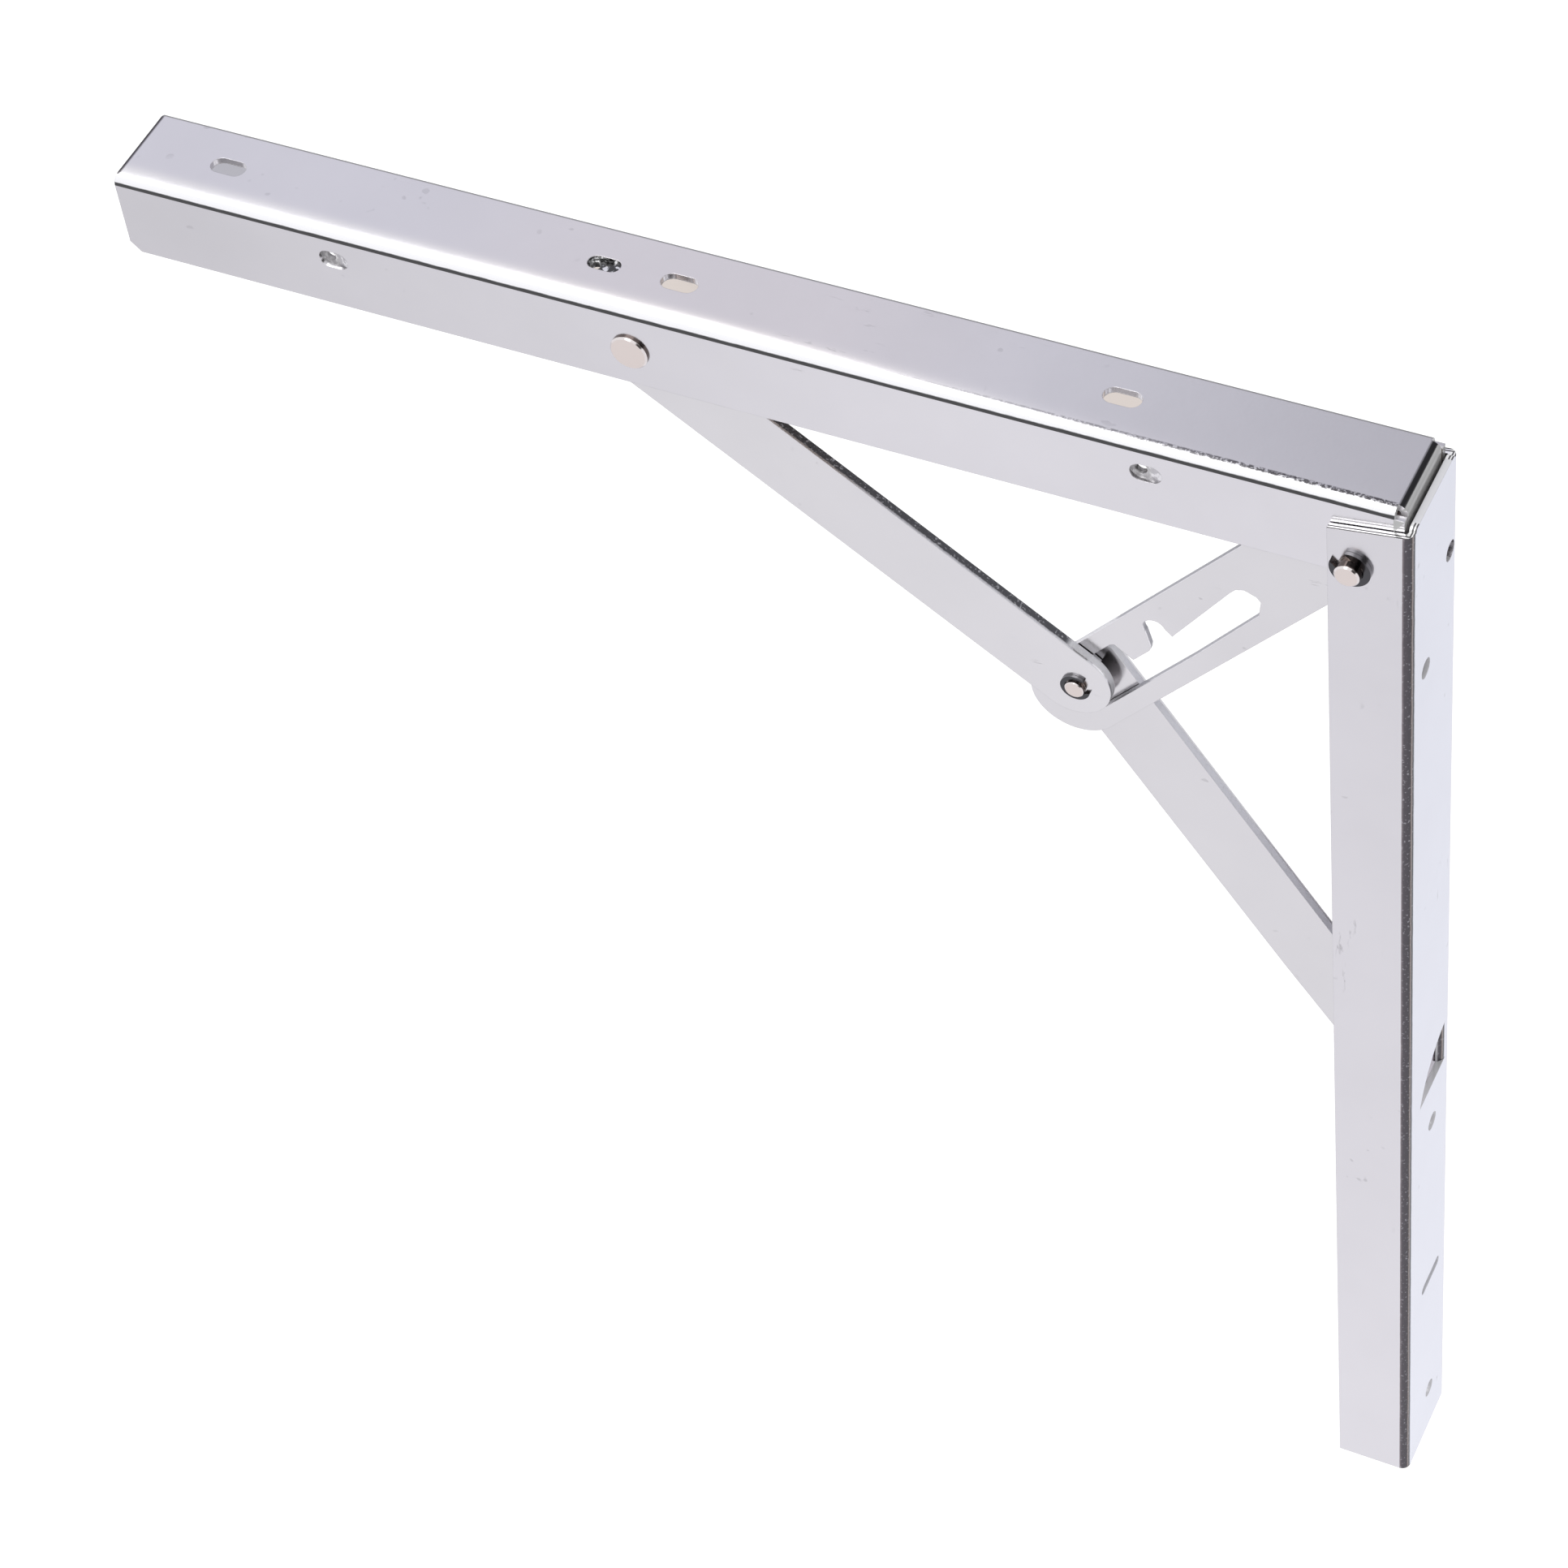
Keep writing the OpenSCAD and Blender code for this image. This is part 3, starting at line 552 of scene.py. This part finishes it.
def wall_channel_material(finish):
    """Plated wall channel: cool web and a dark strip painted along both folds as a reflection, with pits from the
    bend.
    """
    material, tree, shader, place, normal = new_material("Plated Wall Channel")
    nx, ny, nz = split(tree, normal)
    px, py, pz = split(tree, place)
    upright = add(tree, "ShaderNodeMapping")
    feed(tree, place, upright.inputs["Vector"])
    put(upright, Rotation=(0.0, QUARTER_TURN, 0.0))
    plating = group_node(tree, "plating", Vector=place, Clouds=0.08, Specks=0.2)
    scuffs = group_node(tree, "scuffs", Vector=upright.outputs[0], Amount=0.3)
    fold = group_node(tree, "fold", Vector=place, Side=ny, Face=nx)

    # Faces, with painted shade: lighter towards the lower end
    colour = mix(tree, band(tree, nx, 0.9, 1.0), finish.sheet_colour, finish.web_colour)
    shade = maths(tree, "SUBTRACT", plating["Shade"], scuffs["Mask"])
    shade = maths(tree, "ADD", shade, slide(tree, pz, WALL_LOW.z, 0.0, 0.05, -0.06))
    colour = scaled(tree, colour, shade)

    # Dark strip on the outside of the folds, a painted reflection with light and dark lines, and light pits from the
    # bend
    strip, strip_mask = ramp(tree, ragged(tree, place, fold["Turn"]), FOLD_STRIP_REFLECTION)
    pits = band(tree, noise(tree, place, 1300.0, 2.0), 0.60, 0.70)
    strip = mix(tree, product(tree, pits, 0.45), strip, PIT)
    outside = band(tree, px, WALL_HIGH.x - 3.0 * MM, WALL_HIGH.x - 2.6 * MM)
    upright_side = inverse(tree, band(tree, absolute(tree, nz), 0.2, 0.5))
    colour = mix(tree, product(tree, strip_mask, outside, upright_side), colour, strip)

    # Sheared top edges: bright bands, painted as highlights, with painted dark reflection and shadow lines between
    to_side = maths(tree, "SUBTRACT", WALL_HIGH.y, absolute(tree, py))
    to_web = maths(tree, "SUBTRACT", WALL_HIGH.x, px)
    across = maths(tree, "DIVIDE", maths(tree, "MINIMUM", to_side, to_web), SHEET)
    rim, _ = ramp(tree, across, TOP_EDGE_SHADING)
    sheared = product(tree, band(tree, nz, 0.1, 0.3), maths(tree, "GREATER_THAN", pz, 0.0))
    colour = mix(tree, product(tree, sheared, 0.9), colour, rim)

    # Cut sides of the web's holes and window, painted light as highlights and made to mirror less
    pierced = product(
        tree,
        inverse(tree, band(tree, absolute(tree, nx), 0.3, 0.6)),
        band(tree, px, -1.05 * SHEET, -0.95 * SHEET),
        near(tree, py, 0.0, 12 * MM, 0.1 * MM),
    )
    colour = mix(tree, pierced, colour, HOLE_SIDE_HIGHLIGHT)
    web_top = product(tree, sheared, maths(tree, "LESS_THAN", to_web, SHEET))
    dull = product(tree, maths(tree, "MAXIMUM", pierced, web_top), 0.75)

    feed(tree, colour, shader.inputs["Base Color"])
    feed(tree, inverse(tree, dull), shader.inputs["Metallic"])
    feed(tree, sheet_roughness(tree, finish, plating["Height"]), shader.inputs["Roughness"])
    height = maths(tree, "MULTIPLY_ADD", fold["Height"], 5.0, plating["Height"])
    finish_surface(tree, shader, height, finish.edge_radius, RELIEF)
    return material


def plate_material(finish, name, node_name, flip, scuffing, cut_colour, dull, sweep):
    """Flat plated plate with sheared edges: one torn, one burnished layer.

    flip puts the burnished layer at the back, dull is how much less the torn layer mirrors, and
    sweep how much the face lightens towards its high x and darkens towards its low x.
    """
    low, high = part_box(node_name)
    material, tree, shader, place, normal = new_material(name)
    ny = split(tree, normal)[1]
    px, py, _ = split(tree, place)
    plating = group_node(tree, "plating", Vector=place, Clouds=0.10, Specks=0.2)
    scuffs = group_node(tree, "scuffs", Vector=place, Amount=scuffing)
    first, last = (high.y, low.y) if flip else (low.y, high.y)
    cut = group_node(tree, "cut", Vector=place, Across=slide(tree, py, first, last, 0.0, 1.0), Flat=ny)

    # Faces, with a painted light gradient along x
    shade = maths(tree, "SUBTRACT", plating["Shade"], scuffs["Mask"])
    shade = maths(tree, "ADD", shade, slide(tree, px, low.x, high.x, -sweep, sweep))
    colour = scaled(tree, finish.plate_colour, shade)

    # Sheared edges, with a painted highlight that makes them lighter at the elbow, where they are also smoother
    grit = band(tree, noise(tree, place, 1100.0, 2.0), 0.55, 0.72)
    elbow = near(tree, px, ELBOW_AT + 5 * MM, 6 * MM, 2 * MM)
    torn = mix(tree, product(tree, elbow, 0.8), cut_colour, ELBOW_CUT_HIGHLIGHT)
    torn = mix(tree, product(tree, grit, 0.6), torn, GRIT)
    colour = mix(tree, cut["Torn"], colour, torn)
    colour = mix(tree, product(tree, cut["Bright"], 0.8), colour, BURNISHED)
    dulled = product(tree, cut["Torn"], slide(tree, elbow, 0.0, 1.0, dull, 0.9))
    rough = maths(tree, "MULTIPLY_ADD", cut["Torn"], 0.12, finish.sheet_roughness)
    polish = slide(tree, product(tree, elbow, cut["Torn"]), 0.0, 1.0, 1.0, 0.4)

    feed(tree, colour, shader.inputs["Base Color"])
    feed(tree, inverse(tree, dulled), shader.inputs["Metallic"])
    feed(tree, product(tree, rough, polish), shader.inputs["Roughness"])
    height = maths(tree, "MULTIPLY_ADD", product(tree, grit, cut["Torn"]), 5.0, plating["Height"])
    finish_surface(tree, shader, height, finish.edge_radius, RELIEF)
    return material


def pin_material(finish):
    """Bright pins: pinkish flat ends, mirror bevels, and sides painted dark as shade outside the elbow."""
    material, tree, shader, place, normal = new_material("Bright Pin")
    px, py, _ = split(tree, place)
    plating = group_node(tree, "plating", Vector=place, Clouds=0.10, Specks=0.3)
    level = absolute(tree, split(tree, normal)[1])
    flat = band(tree, level, 0.93, 0.99)
    behind = maths(tree, "GREATER_THAN", py, STRUT_FRONT)
    in_elbow = product(tree, behind, near(tree, px, ELBOW_AT, 8 * MM, MM), 0.9)
    side = product(tree, inverse(tree, band(tree, level, 0.3, 0.5)), inverse(tree, in_elbow))
    colour = mix(tree, flat, PIN_BEVEL, finish.pin_colour)
    colour = mix(tree, side, colour, PIN_SIDE_SHADE)
    feed(tree, scaled(tree, colour, plating["Shade"]), shader.inputs["Base Color"])
    put(shader, Metallic=1.0)
    feed(tree, maths(tree, "MULTIPLY_ADD", flat, 0.2, 0.12), shader.inputs["Roughness"])
    finish_surface(tree, shader, plating["Height"], finish.edge_radius * 0.5, PIN_RELIEF)
    return material


def ring_material(finish):
    """Dark spring steel with a bare rim."""
    material, tree, shader, place, normal = new_material("Dark Snap Ring")
    plating = group_node(tree, "plating", Vector=place, Clouds=0.5, Specks=0.2)
    level = absolute(tree, split(tree, normal)[1])
    rim = inverse(tree, band(tree, level, 0.3, 0.8))
    colour = mix(tree, product(tree, rim, 0.35), finish.ring_colour, RING_RIM)
    feed(tree, scaled(tree, colour, plating["Shade"]), shader.inputs["Base Color"])
    put(shader, Metallic=1.0, Roughness=0.18)
    finish_surface(tree, shader, plating["Height"], finish.edge_radius * 0.5, RING_RELIEF)
    return material


def give(material, *names):
    arrange(material.node_tree)
    for name in names:
        slots = NODES[name].data.materials
        slots.clear()
        slots.append(material)


class BRACKET_OT_plating(bpy.types.Operator):
    """Build the shared effects of the plating"""

    bl_idname = "bracket.plating"
    bl_label = "Plating Effects"

    def execute(self, context):
        GROUPS.update(plating=plating_group(), scuffs=scuff_group(), fold=fold_group(), cut=cut_group())
        for tree in GROUPS.values():
            arrange(tree)
        return {"FINISHED"}


class BRACKET_OT_channels(bpy.types.Operator):
    """Finish the shelf arm and the wall channel"""

    bl_idname = "bracket.channels"
    bl_label = "Channels"

    def execute(self, context):
        finish = context.scene.bracket_finish
        give(shelf_arm_material(finish), "shelf_arm")
        give(wall_channel_material(finish), "wall_channel")
        return {"FINISHED"}


class BRACKET_OT_plates(bpy.types.Operator):
    """Finish the struts and the lock plate"""

    bl_idname = "bracket.plates"
    bl_label = "Struts and Lock Plate"

    def execute(self, context):
        finish = context.scene.bracket_finish
        # Lighter copies of the torn edge colour, painted light on the lock plate and the lower strut
        lock_cut, lower_cut = (tuple(gain * v for v in finish.cut_colour) for gain in (LOCK_CUT_LIGHTING, LOWER_CUT_LIGHTING))
        for name, label, flip, scuffing, cut, dull, sweep in (
            ("upper_strut", "Plated Upper Strut", False, 0.25, finish.cut_colour, 0.2, 0.04),
            ("lock_plate", "Plated Lock Plate", False, 0.45, lock_cut, 0.5, -0.02),
            ("lower_strut", "Plated Lower Strut", True, 0.35, lower_cut, 0.85, 0.0),
        ):
            give(plate_material(finish, label, name, flip, scuffing, cut, dull, sweep), name)
        return {"FINISHED"}


class BRACKET_OT_pins(bpy.types.Operator):
    """Finish the pins, rivets, spacers and snap rings"""

    bl_idname = "bracket.pins"
    bl_label = "Pins and Rings"

    def execute(self, context):
        finish = context.scene.bracket_finish
        give(
            pin_material(finish),
            "main_pivot_pin",
            "front_spacer",
            "back_spacer",
            "ear_pin",
            "arm_rivet",
            "elbow_pin",
            "upper_strut_rivet",
            "lower_strut_rivet",
        )
        give(ring_material(finish), "main_pin_ring", "elbow_ring")
        return {"FINISHED"}


# Stage


def background(tree, colour, strength=1.0):
    return fill_all(tree, add(tree, "ShaderNodeBackground"), colour, strength)


def blend(tree, factor, first, second):
    """Shader that goes from the first to the second."""
    return fill_all(tree, add(tree, "ShaderNodeMixShader"), factor, first, second)


def studio_world(ambient):
    """Even light, white behind the object, and a soft studio in the reflections."""
    world = bpy.data.worlds.new("Soft Studio")
    bpy.context.scene.world = world
    world.use_nodes = True
    tree = world.node_tree
    tree.nodes.clear()
    out = add(tree, "ShaderNodeOutputWorld")
    dx, dy, dz = split(tree, add(tree, "ShaderNodeTexCoord").outputs["Generated"])

    # In the reflections: ceiling above a horizon behind the object, a dark spot in the white before it
    ceiling, _ = ramp(tree, slide(tree, dx, -1.0, 1.0, 0.0, 1.0), CEILING)
    horizon = mix(tree, band(tree, dx, 0.58, 0.66), HORIZON, STUDIO_WHITE)
    behind = mix(tree, band(tree, dz, 0.02, 0.26), horizon, ceiling)
    spot = product(
        tree, band(tree, dx, 0.30, 0.45), band(tree, dz, 0.02, 0.16), inverse(tree, band(tree, dz, 0.5, 0.65))
    )
    before = mix(tree, spot, STUDIO_WHITE, STUDIO_DARK)
    studio = mix(tree, band(tree, dy, 0.1, 0.5), before, behind)

    path = add(tree, "ShaderNodeLightPath").outputs
    lit = blend(tree, path["Is Glossy Ray"], background(tree, WHITE, ambient), background(tree, studio))
    seen = maths(tree, "MAXIMUM", path["Is Camera Ray"], path["Is Transmission Ray"])
    feed(tree, blend(tree, seen, lit, background(tree, WHITE)), out.inputs[0])
    arrange(tree)


def floor_material():
    """White floor that keeps the object's shadow."""
    material = bpy.data.materials.new("White Floor")
    material.use_nodes = True
    tree = material.node_tree
    tree.nodes.clear()
    out = add(tree, "ShaderNodeOutputMaterial")
    matt = fill_all(tree, add(tree, "ShaderNodeBsdfDiffuse"), FLOOR_GREY)
    lift = fill_all(tree, add(tree, "ShaderNodeEmission"), WHITE, 0.34)
    lifted = fill_all(tree, add(tree, "ShaderNodeAddShader"), matt, lift)

    # Greyer in the reflections behind the object
    _, fy, _ = split(tree, add(tree, "ShaderNodeTexCoord").outputs["Object"])
    reflected = mix(tree, band(tree, fy, 0.95, 1.25), FLOOR_REFLECTED, FLOOR_DISTANT)
    mirror = fill_all(tree, add(tree, "ShaderNodeEmission"), reflected, 0.98)

    path = add(tree, "ShaderNodeLightPath").outputs
    seen = blend(tree, path["Is Camera Ray"], matt, lifted)
    shiny = maths(tree, "MAXIMUM", path["Is Glossy Ray"], path["Is Transmission Ray"])
    feed(tree, blend(tree, shiny, seen, mirror), out.inputs[0])
    arrange(tree)
    return material


def area_lamp(name, place, target, size, power):
    data = bpy.data.lights.new(name, "AREA")
    data.shape = "SQUARE"
    data.size = size
    data.energy = power
    lamp = bpy.data.objects.new(name, data)
    bpy.context.scene.collection.objects.link(lamp)
    lamp.location = place
    lamp.rotation_mode = "QUATERNION"
    lamp.rotation_quaternion = (Vector(target) - Vector(place)).to_track_quat("-Z", "Y")


def photo_camera():
    turn, rise, roll = (math.radians(v) for v in (CAMERA_TURN, CAMERA_RISE, CAMERA_ROLL))
    right = Vector((math.cos(turn), math.sin(turn), 0.0))
    ahead = Vector((-math.sin(turn) * math.cos(rise), math.cos(turn) * math.cos(rise), -math.sin(rise)))
    up = right.cross(ahead)
    across = math.cos(roll) * right + math.sin(roll) * up
    upward = -math.sin(roll) * right + math.cos(roll) * up
    data = bpy.data.cameras.new("Photo Camera")
    data.sensor_width = SENSOR_MM
    data.lens = FOCAL_PIXELS / FRAME_PIXELS * SENSOR_MM
    data.clip_start = 0.01
    data.clip_end = 100.0
    camera = bpy.data.objects.new("Photo Camera", data)
    bpy.context.scene.collection.objects.link(camera)
    basis = Matrix((across, upward, -ahead)).transposed().to_4x4()
    camera.matrix_world = Matrix.Translation(Vector(CAMERA_PLACE)) @ basis
    bpy.context.scene.camera = camera


class BRACKET_OT_stage(bpy.types.Operator):
    """Set the floor, the lamp, the surroundings and the camera"""

    bl_idname = "bracket.stage"
    bl_label = "Stage"

    def execute(self, context):
        stage = context.scene.bracket_stage
        bpy.ops.object.select_all(action="DESELECT")
        bpy.ops.mesh.primitive_plane_add(size=stage.floor_size, location=(0, 0, 0))
        floor = context.active_object
        floor.name = "floor"
        floor.data.transform(Matrix.Translation((0, 0, WALL_LOW.z - stage.floor_drop)))
        floor.data.materials.append(floor_material())
        studio_world(stage.ambient)
        area_lamp("Key Lamp", KEY_PLACE, KEY_TARGET, KEY_SIZE, stage.key_power)
        photo_camera()
        context.scene.view_settings.view_transform = "Standard"
        return {"FINISHED"}


class BRACKET_PT_panel(bpy.types.Panel):
    """Sidebar panel with the bracket's steps and settings"""

    bl_idname = "BRACKET_PT_panel"
    bl_label = "Folding Shelf Bracket"
    bl_space_type = "VIEW_3D"
    bl_region_type = "UI"
    bl_category = "Bracket"

    def draw(self, context):
        layout = self.layout
        for settings, title in (("bracket_finish", "Finish"), ("bracket_stage", "Studio")):
            group = getattr(context.scene, settings)
            box = layout.box()
            box.label(text=title)
            for name in group.__annotations__:
                box.prop(group, name)
        for operator in OPERATORS:
            layout.operator(operator.bl_idname)


OPERATORS = (
    BRACKET_OT_plating,
    BRACKET_OT_channels,
    BRACKET_OT_plates,
    BRACKET_OT_pins,
    BRACKET_OT_stage,
)
CLASSES = (BRACKET_PG_finish, BRACKET_PG_stage, *OPERATORS, BRACKET_PT_panel)


def register():
    for cls in CLASSES:
        bpy.utils.register_class(cls)
    bpy.types.Scene.bracket_finish = bpy.props.PointerProperty(type=BRACKET_PG_finish)
    bpy.types.Scene.bracket_stage = bpy.props.PointerProperty(type=BRACKET_PG_stage)


def unregister():
    del bpy.types.Scene.bracket_stage
    del bpy.types.Scene.bracket_finish
    for cls in reversed(CLASSES):
        bpy.utils.unregister_class(cls)


def main():
    register()
    bpy.ops.bracket.plating()
    bpy.ops.bracket.channels()
    bpy.ops.bracket.plates()
    bpy.ops.bracket.pins()
    bpy.ops.bracket.stage()


if __name__ == "__main__":
    main()
